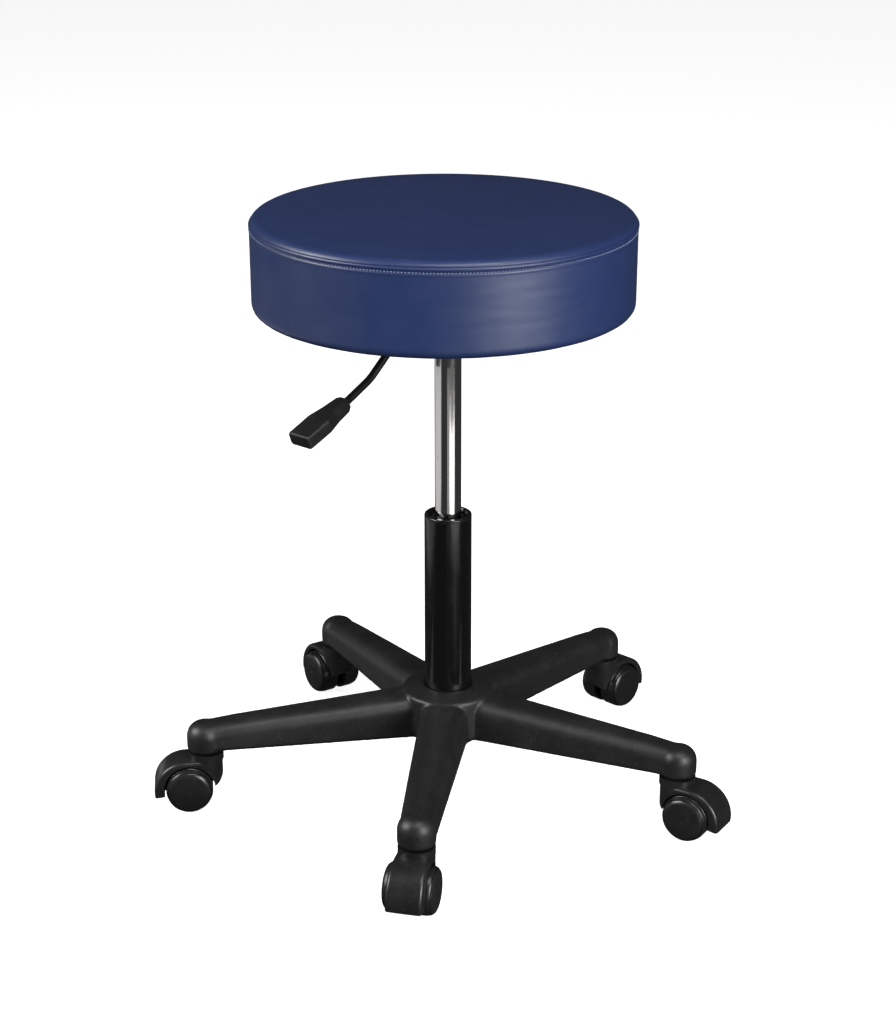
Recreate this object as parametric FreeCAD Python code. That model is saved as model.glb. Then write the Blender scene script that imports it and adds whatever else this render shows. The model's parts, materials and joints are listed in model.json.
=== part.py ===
import FreeCAD, Part
import math
import os

# Height-adjustable round stool on a five-arm base with twin-wheel casters.
# Millimetres, +Z up. The origin is on the floor, under the axis of the column.

# ---- driving dimensions -------------------------------------------------------------------------

ARM_COUNT = 5
FIRST_ARM_AZIMUTH = 191.3      # degrees from +X, anticlockwise seen from above
STEM_CIRCLE_R = 263.6          # radius of the circle of caster stems
ARM_BOTTOM_Z = 68.4
ARM_TOP_Z_AT_STEM = 96.6
ARM_TOP_Z_AT_AXIS = 115.8
ARM_WIDTH_AT_STEM = 36.9
ARM_WIDTH_AT_AXIS = 53.5
ARM_CORNER_R = 15.0            # rounding along the upper edges of an arm
ARM_DRAFT = 1.2                # how much each side leans in between the bottom and the rounding
ARM_CROWN = 0.3                # rise of the top face in the middle of its width
ARM_WALL = 3.6
ARM_START_R = 30.0             # an arm starts inside the hub and ends inside its boss
ARM_END_R = 257.0
ARM_DROOP_R = 232.0            # from here to its end the top of an arm falls away
ARM_DROOP = 0.9
RIB_T = 2.6
RIB_RADII = (92.0, 132.0, 172.0, 212.0)
BOSS_R = 19.0
BOSS_BOTTOM_Z = 65.6
HUB_R = 49.0
HUB_TOP_Z = 118.1
HUB_SHOULDER_Z = 114.6
HUB_CORE_R = 34.0
HUB_CORE_BOTTOM_Z = 58.0
HUB_RING_R = 29.0
HUB_RING_TOP_Z = 66.0

COLUMN_R = 25.0
COLUMN_WALL = 2.0
COLUMN_TOP_Z = 310.0
COLUMN_BOTTOM_Z = 50.0
COLUMN_TAPER_TOP_Z = 116.0
COLUMN_TAPER = 0.025           # radius lost per millimetre of height, below the taper's top
BUSH_FLANGE_T = 3.5
BUSH_BOTTOM_Z = 228.0
END_PLATE_T = 3.5

CYLINDER_R = 14.0
CYLINDER_WALL = 1.5
CYLINDER_BOTTOM_Z = 239.0
CYLINDER_TAPER_Z = 476.6
CYLINDER_TOP_Z = 516.6
CYLINDER_TOP_R = 13.0
ROD_R = 5.0
ROD_BOTTOM_Z = 45.0
PISTON_Z = (262.0, 274.0)
SEAL_Z = (265.5, 270.5)
CLIP_GROOVE_Z = (48.1, 49.7)    # round the rod, just below the tube's end plate
SLIDE_CLEARANCE = 0.05         # radial play of a shaft that turns or slides in a bore

BEARING_Z = COLUMN_BOTTOM_Z + END_PLATE_T
BEARING_WASHER_T = 1.5
BEARING_OUTER_R = 13.5
BALL_R = 1.6
BALL_CIRCLE_R = 10.0
BALL_COUNT = 10

BUTTON_R = 3.5
BUTTON_TOP_Z = 521.6
BUTTON_STEM_BOTTOM_Z = 500.6
VALVE_BODY_BOTTOM_Z = 494.6

SEAT_R = 195.4
SEAT_RIM_R = 196.0
SEAT_BOTTOM_Z = 537.8
SEAM_Z = 626.3
SEAT_EDGE_Z = 635.4            # top of the rounded rim
SEAT_TOP_Z = 638.4             # flat middle of the slightly crowned top
SEAT_FLAT_R = 70.0
SEAT_RIM_ROUND_R = 12.0
EDGE_ROUND_R = 7.0             # rounding of the seat's lower edge
SKIN_T = 1.4
FLANGE_INNER_R = 158.0         # the side band is turned in under the board as far as this
BOARD_R = 186.0
BOARD_T = 12.0
BOARD_BOTTOM_Z = SEAT_BOTTOM_Z + SKIN_T
COVER_R = 178.0
COVER_T = 0.6
STAPLE_COUNT = 24
STAPLE_CIRCLE_R = 168.0
STAPLE_WIRE_R = 0.35
STAPLE_HALF_CROWN = 5.0

PLATE_HALF = 76.0
PLATE_T = 3.0
BOLT_OFFSET = 60.0
BOLT_R = 4.0
BRACKET_WEB_Z = (508.6, 511.6)
BRACKET_HALF_L = 44.0
BRACKET_HALF_W = 20.0
BRACKET_WALL = 3.0
SOCKET_R = 19.0
SOCKET_BOTTOM_Z = 490.0

LEVER_AZIMUTH = 228.6
LEVER_ROD_R = 4.0
LEVER_Z = 525.8
PIVOT_RADIUS = 24.0            # distance of the lever's pin from the column's axis
PIVOT_TUBE_R = 6.2
PIN_R = 3.0
# Centre line of the lever rod in its own upright plane: distance from the column's axis and height.
LEVER_PATH = [(-7.0, LEVER_Z), (68.5, LEVER_Z), (116.6, 487.3), (176.0, 460.3)]
LEVER_BENDS = (20.0, 55.0)
HANDLE_ROOT = (152.9, 472.0)
HANDLE_TILT = 21.2             # degrees below the horizontal
# Sections of the handle: distance from its root, width, thickness, and the width and depth of the
# slope along each upper edge.
HANDLE_SECTIONS = (
    (0.0, 13.5, 11.0, 2.6, 3.0),
    (4.5, 17.0, 15.0, 3.8, 5.0),
    (22.0, 21.5, 14.5, 2.6, 4.0),
    (37.5, 28.5, 14.2, 1.6, 2.0),
    (66.0, 27.8, 14.0, 1.2, 1.2),
    (68.0, 26.2, 12.4, 1.0, 1.0),
)
HANDLE_LOW_BEVEL = 1.8

STEM_R = 5.5
STEM_TOP_Z = 90.0
STEM_BOTTOM_Z = 46.0
GRIP_RING_R = 7.4
GRIP_RING_Z = (82.0, 85.0)
AXLE_R = 4.0
AXLE_HALF = 23.0
WHEEL_R = 25.0
WHEEL_INNER_Y = 4.2
WHEEL_OUTER_Y = 27.5
TREAD_END_Y = 18.0
FACE_GROOVE_R = (22.4, 23.2)   # fine ring groove around the domed face
FACE_GROOVE_Y = 22.3
CASTER_TRAIL = 18.5            # axle's distance from the stem's axis
CASTER_AZIMUTHS = (186.1, 256.3, 328.9, 46.0, 123.3)
HOOD_R = 34.4
HOOD_CENTRE = (21.5, 22.6)     # distance behind the stem, height
HOOD_EDGE_R = 4.0              # rounding between the crown and the sides
HOOD_CAVITY_R = 27.2
HOOD_HALF_W = 19.0
HOOD_RING_Z = 63.0
HOOD_WEB_HALF_T = 3.4
FENDER_END_ANGLE = -10.0       # where the rear edge of the hood ends, about the axle
NOSE_CENTRE_X = 1.3
NOSE_STRAIGHT_Z = 39.0         # the front face is upright down to here, then curves in to its tip
NOSE_TIP_Z = 27.5
NOSE_TIP_SETBACK = 8.0

Z_AXIS = FreeCAD.Vector(0, 0, 1)


def vec(x, y, z=0.0):
    return FreeCAD.Vector(x, y, z)


def export(name, shape):
    shape.exportStep("parts/" + name + ".step")


def cylinder(radius, bottom, top, x=0.0, y=0.0):
    return Part.makeCylinder(radius, top - bottom, vec(x, y, bottom))


def ring(outer, inner, bottom, top):
    return cylinder(outer, bottom, top).cut(cylinder(inner, bottom - 1, top + 1))


def cone(bottom_r, top_r, bottom, top):
    return Part.makeCone(bottom_r, top_r, top - bottom, vec(0, 0, bottom))


def box(x0, x1, y0, y1, z0, z1):
    return Part.makeBox(x1 - x0, y1 - y0, z1 - z0, vec(x0, y0, z0))


def turned(shape, azimuth, x=0.0, y=0.0):
    """A copy turned about Z through the origin, then moved to x, y."""
    copy = shape.copy()
    copy.rotate(vec(0, 0, 0), Z_AXIS, azimuth)
    copy.translate(vec(x, y, 0))
    return copy


def line(a, b):
    return Part.LineSegment(a, b).toShape()


def arc(a, middle, b):
    return Part.Arc(a, middle, b).toShape()


def fuse_all(shapes):
    result = shapes[0]
    for shape in shapes[1:]:
        result = result.fuse(shape)
    return result


def revolved(outline):
    """Full turn about Z of a closed outline of (radius, height) points and three-point arcs.

    An item that holds one more point, (radius, height, mid_radius, mid_height), is reached from
    the item before it by an arc through the middle point.
    """
    edges = []
    for start, end in zip(outline, outline[1:] + outline[:1]):
        a = vec(start[0], 0, start[1])
        b = vec(end[0], 0, end[1])
        if len(end) == 4:
            edges.append(arc(a, vec(end[2], 0, end[3]), b))
        else:
            edges.append(line(a, b))
    return Part.Face(Part.Wire(edges)).revolve(vec(0, 0, 0), Z_AXIS, 360)


def corner(centre_r, centre_z, radius, degrees):
    """A point on a circle in the (radius, height) plane."""
    angle = math.radians(degrees)
    return (centre_r + radius * math.cos(angle), centre_z + radius * math.sin(angle))


# ---- five-arm base ------------------------------------------------------------------------------

def arm_azimuth(index):
    return FIRST_ARM_AZIMUTH + index * 360.0 / ARM_COUNT


def stem_place(index):
    angle = math.radians(arm_azimuth(index))
    return STEM_CIRCLE_R * math.cos(angle), STEM_CIRCLE_R * math.sin(angle)


def arm_section(distance, inset, bottom, droop=0.0):
    """Closed section of an arm, square to it, at a distance from the column's axis."""
    share = distance / STEM_CIRCLE_R
    width = ARM_WIDTH_AT_AXIS + (ARM_WIDTH_AT_STEM - ARM_WIDTH_AT_AXIS) * share
    top = ARM_TOP_Z_AT_AXIS + (ARM_TOP_Z_AT_STEM - ARM_TOP_Z_AT_AXIS) * share - inset - droop
    foot = width / 2 - inset
    side = foot - ARM_DRAFT
    round_r = ARM_CORNER_R - inset
    drop = round_r * (1 - math.sqrt(0.5))
    low = top - ARM_CROWN
    return Part.Wire([
        line(vec(distance, -foot, bottom), vec(distance, -side, low - round_r)),
        arc(vec(distance, -side, low - round_r), vec(distance, -side + drop, low - drop),
            vec(distance, -side + round_r, low)),
        arc(vec(distance, -side + round_r, low), vec(distance, 0, top),
            vec(distance, side - round_r, low)),
        arc(vec(distance, side - round_r, low), vec(distance, side - drop, low - drop),
            vec(distance, side, low - round_r)),
        line(vec(distance, side, low - round_r), vec(distance, foot, bottom)),
        line(vec(distance, foot, bottom), vec(distance, -foot, bottom)),
    ])


def arm_body(start, end, inset, bottom):
    sections = [arm_section(start, inset, bottom), arm_section(end, inset, bottom)]
    return Part.makeLoft(sections, True, True)


def arm_end():
    """Last stretch of an arm, whose top falls away towards the boss of the caster stem."""
    sections = [
        arm_section(ARM_DROOP_R, 0.0, ARM_BOTTOM_Z),
        arm_section(ARM_END_R, 0.0, ARM_BOTTOM_Z, ARM_DROOP),
    ]
    return Part.makeLoft(sections, True, True)


def boss_outer():
    top = ARM_TOP_Z_AT_STEM - ARM_DROOP + 0.2
    round_r = ARM_CORNER_R
    shoulder = BOSS_R - round_r
    middle = corner(shoulder, top - round_r, round_r, 45)
    return revolved([
        (0, BOSS_BOTTOM_Z), (BOSS_R - 1.0, BOSS_BOTTOM_Z), (BOSS_R, BOSS_BOTTOM_Z + 1.0),
        (BOSS_R, top - round_r), (shoulder, top) + middle, (0, top),
    ])


def star_base():
    boss = boss_outer()
    boss.translate(vec(STEM_CIRCLE_R, 0, 0))
    arms = []
    hollows = []
    ribs = []
    for index in range(ARM_COUNT):
        azimuth = arm_azimuth(index)
        arm = arm_body(ARM_START_R, ARM_DROOP_R, 0.0, ARM_BOTTOM_Z)
        arm = arm.fuse([arm_end(), boss])
        arms.append(turned(arm, azimuth))
        hollow_start = HUB_R + 3.0
        hollow_end = STEM_CIRCLE_R - BOSS_R - 1.0
        hollow = arm_body(hollow_start, hollow_end, ARM_WALL, ARM_BOTTOM_Z - 5.0)
        hollows.append(turned(hollow, azimuth))
        ceiling = arm_body(hollow_start, hollow_end, ARM_WALL - 1.0, ARM_BOTTOM_Z + 1.5)
        for distance in RIB_RADII:
            plate = box(distance - RIB_T / 2, distance + RIB_T / 2, -40, 40, 0, 150)
            ribs.append(turned(plate.common(ceiling), azimuth))
        spine = box(hollow_start - 2, hollow_end + 2, -RIB_T / 2, RIB_T / 2, 0, 150)
        ribs.append(turned(spine.common(ceiling), azimuth))
    hub = revolved([
        (0, HUB_CORE_BOTTOM_Z), (HUB_CORE_R, HUB_CORE_BOTTOM_Z), (HUB_CORE_R, ARM_BOTTOM_Z),
        (HUB_R, ARM_BOTTOM_Z), (HUB_R, HUB_SHOULDER_Z - 3.0),
        (HUB_R - 3.0, HUB_SHOULDER_Z) + corner(HUB_R - 3.0, HUB_SHOULDER_Z - 3.0, 3.0, 45),
        (COLUMN_R + 3.5, HUB_TOP_Z), (0, HUB_TOP_Z),
    ])
    body = fuse_all([hub] + arms)
    body = body.cut(Part.makeCompound(hollows))
    body = body.fuse(ribs)
    body = body.cut([column_outer(), ring_pocket()])
    for index in range(ARM_COUNT):
        x, y = stem_place(index)
        body = body.cut(cylinder(STEM_R + SLIDE_CLEARANCE, BOSS_BOTTOM_Z - 1, STEM_TOP_Z + 1.5, x, y))
        body = body.cut(cylinder(GRIP_RING_R, GRIP_RING_Z[0], GRIP_RING_Z[1], x, y))
    export("star_base", body.removeSplitter())


def column_outer(extra=0.0):
    """Outside of the column tube: straight above, tapered where it sits in the base."""
    taper_depth = COLUMN_TAPER_TOP_Z - COLUMN_BOTTOM_Z
    bottom_r = COLUMN_R - taper_depth * COLUMN_TAPER
    low = cone(bottom_r - extra, COLUMN_R - extra, COLUMN_BOTTOM_Z, COLUMN_TAPER_TOP_Z)
    return low.fuse(cylinder(COLUMN_R - extra, COLUMN_TAPER_TOP_Z, COLUMN_TOP_Z))


def ring_pocket():
    return cylinder(HUB_RING_R, HUB_CORE_BOTTOM_Z, HUB_RING_TOP_Z)


def base_inserts():
    export("hub_ring", ring_pocket().cut(column_outer()))
    tube = column_outer().cut(column_outer(COLUMN_WALL))
    export("column_tube", tube.removeSplitter())
    inside = column_outer(COLUMN_WALL)
    plate_top = COLUMN_BOTTOM_Z + END_PLATE_T
    plate = inside.common(cylinder(COLUMN_R, COLUMN_BOTTOM_Z, plate_top))
    export("tube_end_plate", plate.cut(cylinder(ROD_R + 0.1, 0, plate_top + 1)))
    top = COLUMN_TOP_Z + BUSH_FLANGE_T
    bore = CYLINDER_R + SLIDE_CLEARANCE
    bush = revolved([
        (bore, BUSH_BOTTOM_Z), (COLUMN_R - COLUMN_WALL, BUSH_BOTTOM_Z),
        (COLUMN_R - COLUMN_WALL, COLUMN_TOP_Z), (COLUMN_R, COLUMN_TOP_Z),
        (COLUMN_R, top - 1.5), (COLUMN_R - 1.5, top) + corner(COLUMN_R - 1.5, top - 1.5, 1.5, 45),
        (COLUMN_R - 3.5, top), (COLUMN_R - 5.0, top - 3.0), (bore + 1.2, top - 3.0),
        (bore, top - 4.2),
    ])
    export("guide_bush", bush)


def grip_rings():
    """Split steel rings, sprung into the arms' sockets, that keep the caster stems in."""
    rings = []
    for index in range(ARM_COUNT):
        x, y = stem_place(index)
        groove_r = STEM_R - 0.7
        band = ring(GRIP_RING_R, groove_r + SLIDE_CLEARANCE, GRIP_RING_Z[0], GRIP_RING_Z[1])
        split = box(0, GRIP_RING_R + 1, -0.8, 0.8, 0, 200)
        rings.append(turned(band.cut(split), arm_azimuth(index), x, y))
    export("caster_grip_rings", Part.makeCompound(rings))


# ---- gas spring ---------------------------------------------------------------------------------

def thrust_bearing():
    """Ball bearing between the tube's end plate and the rod, on which the seat turns."""
    lower_top = BEARING_Z + BEARING_WASHER_T
    ball_z = lower_top + BALL_R + 0.03
    upper_bottom = ball_z + BALL_R + 0.03
    upper_top = upper_bottom + BEARING_WASHER_T
    export("bearing_lower_race", ring(BEARING_OUTER_R, ROD_R + 0.4, BEARING_Z, lower_top))
    export("bearing_upper_race", ring(BEARING_OUTER_R, ROD_R, upper_bottom, upper_top))
    cage = ring(BEARING_OUTER_R - 0.5, ROD_R + 0.6, ball_z - 0.8, ball_z + 0.8)
    balls = []
    for index in range(BALL_COUNT):
        angle = math.radians(index * 360.0 / BALL_COUNT)
        place = vec(BALL_CIRCLE_R * math.cos(angle), BALL_CIRCLE_R * math.sin(angle), ball_z)
        balls.append(Part.makeSphere(BALL_R, place))
        cage = cage.cut(Part.makeSphere(BALL_R + 0.06, place))
    export("bearing_cage", cage)
    export("bearing_balls", Part.makeCompound(balls))
    return upper_top


def rod_parts(bearing_top):
    """Piston rod with its clip below the tube's end plate, and what it carries in the cylinder."""
    collar_top = bearing_top + 4.0
    bore_r = CYLINDER_R - CYLINDER_WALL
    rod = cylinder(ROD_R, ROD_BOTTOM_Z, PISTON_Z[0])
    rod = rod.cut(ring(ROD_R + 1, ROD_R - 1.2, CLIP_GROOVE_Z[0], CLIP_GROOVE_Z[1]))
    rod = rod.fuse(cylinder(ROD_R - 1.5, PISTON_Z[0], PISTON_Z[1] + 3.0))
    rod = rod.fuse(ring(ROD_R + 3.0, ROD_R, bearing_top, collar_top))
    export("piston_rod", rod.removeSplitter())
    clip = ring(ROD_R + 4.0, ROD_R - 1.2, CLIP_GROOVE_Z[0], CLIP_GROOVE_Z[1])
    opening = box(0, ROD_R + 5, -ROD_R + 2.2, ROD_R - 2.2, 0, 60)
    export("rod_clip", clip.cut(opening))
    export("bump_stop", ring(ROD_R + 6.5, ROD_R, collar_top, collar_top + 9.0))
    piston = revolved([
        (ROD_R - 1.5, PISTON_Z[0]), (bore_r - 0.1, PISTON_Z[0]), (bore_r - 0.1, SEAL_Z[0]),
        (bore_r - 2.0, SEAL_Z[0]), (bore_r - 2.0, SEAL_Z[1]), (bore_r - 0.1, SEAL_Z[1]),
        (bore_r - 0.1, PISTON_Z[1]), (ROD_R - 1.5, PISTON_Z[1]),
    ])
    export("piston_head", piston)
    export("piston_seal", ring(bore_r - SLIDE_CLEARANCE, bore_r - 2.0, SEAL_Z[0], SEAL_Z[1]))


def cylinder_shell(inset):
    top_r = CYLINDER_TOP_R - inset
    low = cylinder(CYLINDER_R - inset, CYLINDER_BOTTOM_Z, CYLINDER_TAPER_Z)
    return low.fuse(cone(CYLINDER_R - inset, top_r, CYLINDER_TAPER_Z, CYLINDER_TOP_Z))


def cylinder_parts():
    bore_r = CYLINDER_R - CYLINDER_WALL
    tube = cylinder_shell(0.0).cut(cylinder_shell(CYLINDER_WALL))
    export("gas_cylinder", tube.removeSplitter())
    guide = ring(bore_r, ROD_R + SLIDE_CLEARANCE, CYLINDER_BOTTOM_Z, CYLINDER_BOTTOM_Z + 14.0)
    export("cylinder_end_guide", guide)
    inside = cylinder_shell(CYLINDER_WALL)
    body = inside.common(cylinder(CYLINDER_R, VALVE_BODY_BOTTOM_Z, CYLINDER_TOP_Z))
    body = body.cut(cylinder(BUTTON_R + SLIDE_CLEARANCE, BUTTON_STEM_BOTTOM_Z - 5.0, CYLINDER_TOP_Z + 1))
    export("valve_body", body)
    dome = Part.makeSphere(6.0, vec(0, 0, BUTTON_TOP_Z - 6.0))
    shaft = cylinder(BUTTON_R, BUTTON_STEM_BOTTOM_Z, BUTTON_TOP_Z)
    upper = cylinder(BUTTON_R, BUTTON_TOP_Z - 3.0, BUTTON_TOP_Z).common(dome)
    lower = cylinder(BUTTON_R, BUTTON_STEM_BOTTOM_Z, BUTTON_TOP_Z - 3.0)
    button = lower.fuse(upper).common(shaft)
    export("valve_button", button.removeSplitter())


# ---- lift mechanism under the seat --------------------------------------------------------------

def bolt_places():
    places = []
    for sx in (-1, 1):
        for sy in (-1, 1):
            places.append((sx * BOLT_OFFSET, sy * BOLT_OFFSET))
    return places


def mounting_plate():
    bottom = BOARD_BOTTOM_Z - PLATE_T
    plate = box(-PLATE_HALF, PLATE_HALF, -PLATE_HALF, PLATE_HALF, bottom, BOARD_BOTTOM_Z)
    uprights = [edge for edge in plate.Edges if abs(edge.tangentAt(edge.FirstParameter).z) > 0.9]
    plate = plate.makeFillet(12.0, uprights)
    for x, y in bolt_places():
        plate = plate.cut(cylinder(BOLT_R + 0.4, bottom - 1, BOARD_BOTTOM_Z + 1, x, y))
    export("mounting_plate", turned(plate, LEVER_AZIMUTH))


def lever_bracket():
    """Channel welded under the plate, that holds the lever's pin and the socket."""
    plate_bottom = BOARD_BOTTOM_Z - PLATE_T
    web_bottom, web_top = BRACKET_WEB_Z
    outside = box(-BRACKET_HALF_L, BRACKET_HALF_L, -BRACKET_HALF_W, BRACKET_HALF_W,
                  web_bottom, plate_bottom)
    inner = BRACKET_HALF_W - BRACKET_WALL
    inside = box(-BRACKET_HALF_L - 1, BRACKET_HALF_L + 1, -inner, inner, web_top, plate_bottom + 1)
    channel = outside.cut(inside)
    channel = channel.cut(cylinder_shell(0.0))
    pin_hole = Part.makeCylinder(PIN_R, 60, vec(PIVOT_RADIUS, -30, LEVER_Z), vec(0, 1, 0))
    export("lever_bracket", turned(channel.cut(pin_hole), LEVER_AZIMUTH))
    socket = cylinder(SOCKET_R, SOCKET_BOTTOM_Z, web_bottom).cut(cylinder_shell(0.0))
    export("taper_socket", socket)


def lever_pin():
    head_start = -BRACKET_HALF_W - 2.0
    along = vec(0, 1, 0)
    pin = Part.makeCylinder(PIN_R, 2 * BRACKET_HALF_W + 6.0,
                            vec(PIVOT_RADIUS, -BRACKET_HALF_W, LEVER_Z), along)
    head = Part.makeCylinder(PIN_R + 1.8, 2.0, vec(PIVOT_RADIUS, head_start, LEVER_Z), along)
    clip_y = BRACKET_HALF_W + 1.0
    groove = Part.makeCylinder(PIN_R + 1, 0.8, vec(PIVOT_RADIUS, clip_y, LEVER_Z), along)
    groove = groove.cut(Part.makeCylinder(PIN_R - 0.8, 0.8, vec(PIVOT_RADIUS, clip_y, LEVER_Z), along))
    export("lever_pin", turned(pin.fuse(head).cut(groove), LEVER_AZIMUTH))
    clip = Part.makeCylinder(PIN_R + 2.4, 0.8, vec(PIVOT_RADIUS, clip_y, LEVER_Z), along)
    clip = clip.cut(Part.makeCylinder(PIN_R - 0.8, 0.8, vec(PIVOT_RADIUS, clip_y, LEVER_Z), along))
    clip = clip.cut(box(PIVOT_RADIUS - 1.6, PIVOT_RADIUS + 1.6, 0, 40, LEVER_Z - 10, LEVER_Z))
    export("pin_clip", turned(clip, LEVER_AZIMUTH))


def bent_path(points, bends):
    """Straight runs joined by tangent arcs, in the plane y = 0."""
    edges = []
    start = vec(points[0][0], 0, points[0][1])
    for before, here, after, bend_r in zip(points, points[1:], points[2:], bends):
        knee = vec(here[0], 0, here[1])
        back = (vec(before[0], 0, before[1]) - knee).normalize()
        ahead = (vec(after[0], 0, after[1]) - knee).normalize()
        half = back.getAngle(ahead) / 2
        setback = bend_r / math.tan(half)
        bisector = (back + ahead).normalize()
        centre = knee + bisector * (bend_r / math.sin(half))
        arc_start = knee + back * setback
        arc_end = knee + ahead * setback
        edges.append(line(start, arc_start))
        edges.append(arc(arc_start, centre - bisector * bend_r, arc_end))
        start = arc_end
    edges.append(line(start, vec(points[-1][0], 0, points[-1][1])))
    return Part.Wire(edges)


def lever_rod():
    path = bent_path(LEVER_PATH, LEVER_BENDS)
    start = path.Vertexes[0].Point
    profile = Part.Wire([Part.makeCircle(LEVER_ROD_R, start, vec(1, 0, 0))])
    rod = path.makePipeShell([profile], True, False)
    tube_half = BRACKET_HALF_W - BRACKET_WALL - 0.4
    along = vec(0, 1, 0)
    tube_start = vec(PIVOT_RADIUS, -tube_half, LEVER_Z)
    rod = rod.fuse(Part.makeCylinder(PIVOT_TUBE_R, 2 * tube_half, tube_start, along))
    rod = rod.cut(Part.makeCylinder(PIN_R + SLIDE_CLEARANCE, 2 * tube_half, tube_start, along))
    export("lever_rod", turned(rod.removeSplitter(), LEVER_AZIMUTH))
    return rod


def handle_section(along, width, thickness, slope_w, slope_h):
    """Eight-sided section of the paddle, square to its length."""
    half = width / 2
    low = -thickness / 2
    high = thickness / 2
    bevel = HANDLE_LOW_BEVEL
    outline = [
        (-half + bevel, low), (half - bevel, low), (half, low + bevel), (half, high - slope_h),
        (half - slope_w, high), (-half + slope_w, high), (-half, high - slope_h),
        (-half, low + bevel),
    ]
    points = [vec(along, y, z) for y, z in outline]
    return Part.makePolygon(points + points[:1])


def lever_handle(rod):
    """Moulded paddle pushed over the end of the rod, narrow at its root and wide at its tip."""
    sections = [handle_section(*sizes) for sizes in HANDLE_SECTIONS]
    pieces = [Part.makeLoft(list(pair), True, True) for pair in zip(sections, sections[1:])]
    paddle = fuse_all(pieces).removeSplitter()
    paddle.rotate(vec(0, 0, 0), vec(0, 1, 0), HANDLE_TILT)
    paddle.translate(vec(HANDLE_ROOT[0], 0, HANDLE_ROOT[1]))
    export("lever_handle", turned(paddle.cut(rod), LEVER_AZIMUTH))


def seat_fasteners():
    plate_bottom = BOARD_BOTTOM_Z - PLATE_T
    washer_t = 1.6
    board_top = BOARD_BOTTOM_Z + BOARD_T
    bolts = []
    washers = []
    nuts = []
    for x, y in bolt_places():
        head_top = plate_bottom - washer_t
        head = cylinder(7.0, head_top - 4.4, head_top, x, y)
        hexagon = Part.Face(Part.makePolygon([
            vec(x + 2.9 * math.cos(math.radians(60 * k)), y + 2.9 * math.sin(math.radians(60 * k)),
                head_top - 5.0) for k in range(7)
        ])).extrude(vec(0, 0, 3.0))
        shank = cylinder(BOLT_R, head_top, board_top - 1.0, x, y)
        bolts.append(head.fuse(shank).cut(hexagon))
        washer = cylinder(8.5, head_top, plate_bottom, x, y)
        washers.append(washer.cut(cylinder(BOLT_R + 0.3, 0, 600, x, y)))
        barrel = cylinder(5.4, BOARD_BOTTOM_Z + 3.0, board_top, x, y)
        flange = cylinder(11.0, board_top, board_top + 1.2, x, y)
        nuts.append(barrel.fuse(flange).cut(cylinder(BOLT_R, 0, board_top + 5, x, y)))
    for name, solids in (("seat_bolts", bolts), ("bolt_washers", washers), ("tee_nuts", nuts)):
        export(name, turned(Part.makeCompound(solids), LEVER_AZIMUTH))


# ---- cushion ------------------------------------------------------------------------------------

def seat_outside(inset):
    """Outline of the upholstered seat from its bottom edge to its crown, moved in by inset."""
    rim = SEAT_RIM_ROUND_R - inset
    rim_centre = (SEAT_RIM_R - SEAT_RIM_ROUND_R, SEAT_EDGE_Z - SEAT_RIM_ROUND_R)
    low = EDGE_ROUND_R - inset
    low_centre = (SEAT_R - EDGE_ROUND_R, SEAT_BOTTOM_Z + EDGE_ROUND_R)
    return [
        (0, SEAT_BOTTOM_Z + inset), (low_centre[0], SEAT_BOTTOM_Z + inset),
        (SEAT_R - inset, low_centre[1]) + corner(low_centre[0], low_centre[1], low, -45),
        (SEAT_RIM_R - inset, rim_centre[1]),
        (rim_centre[0], SEAT_EDGE_Z - inset) + corner(rim_centre[0], rim_centre[1], rim, 45),
        (SEAT_FLAT_R, SEAT_TOP_Z - inset), (0, SEAT_TOP_Z - inset),
    ]


def cover_staples():
    """Wire staples, in a ring, that hold the cover and the turned-in band to the board."""
    leg_top = BOARD_BOTTOM_Z + 6.0
    crown_z = SEAT_BOTTOM_Z - COVER_T - STAPLE_WIRE_R
    ends = (-STAPLE_HALF_CROWN, STAPLE_HALF_CROWN)
    staples = []
    for index in range(STAPLE_COUNT):
        crown = Part.makeCylinder(STAPLE_WIRE_R, 2 * STAPLE_HALF_CROWN,
                                  vec(STAPLE_CIRCLE_R, ends[0], crown_z), vec(0, 1, 0))
        legs = [cylinder(STAPLE_WIRE_R, crown_z, leg_top, STAPLE_CIRCLE_R, end) for end in ends]
        caps = [Part.makeSphere(STAPLE_WIRE_R, vec(STAPLE_CIRCLE_R, end, crown_z)) for end in ends]
        staple = fuse_all([crown] + legs + caps)
        staples.append(turned(staple, (index + 0.5) * 360.0 / STAPLE_COUNT))
    return Part.makeCompound(staples)


def staple_holes():
    """Holes that the staples' legs make, a little wider than the wire."""
    holes = []
    for index in range(STAPLE_COUNT):
        for end in (-STAPLE_HALF_CROWN, STAPLE_HALF_CROWN):
            hole = cylinder(STAPLE_WIRE_R + 0.03, SEAT_BOTTOM_Z - COVER_T - 1, BOARD_BOTTOM_Z + 6.1,
                            STAPLE_CIRCLE_R, end)
            holes.append(turned(hole, (index + 0.5) * 360.0 / STAPLE_COUNT))
    return Part.makeCompound(holes)


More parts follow.
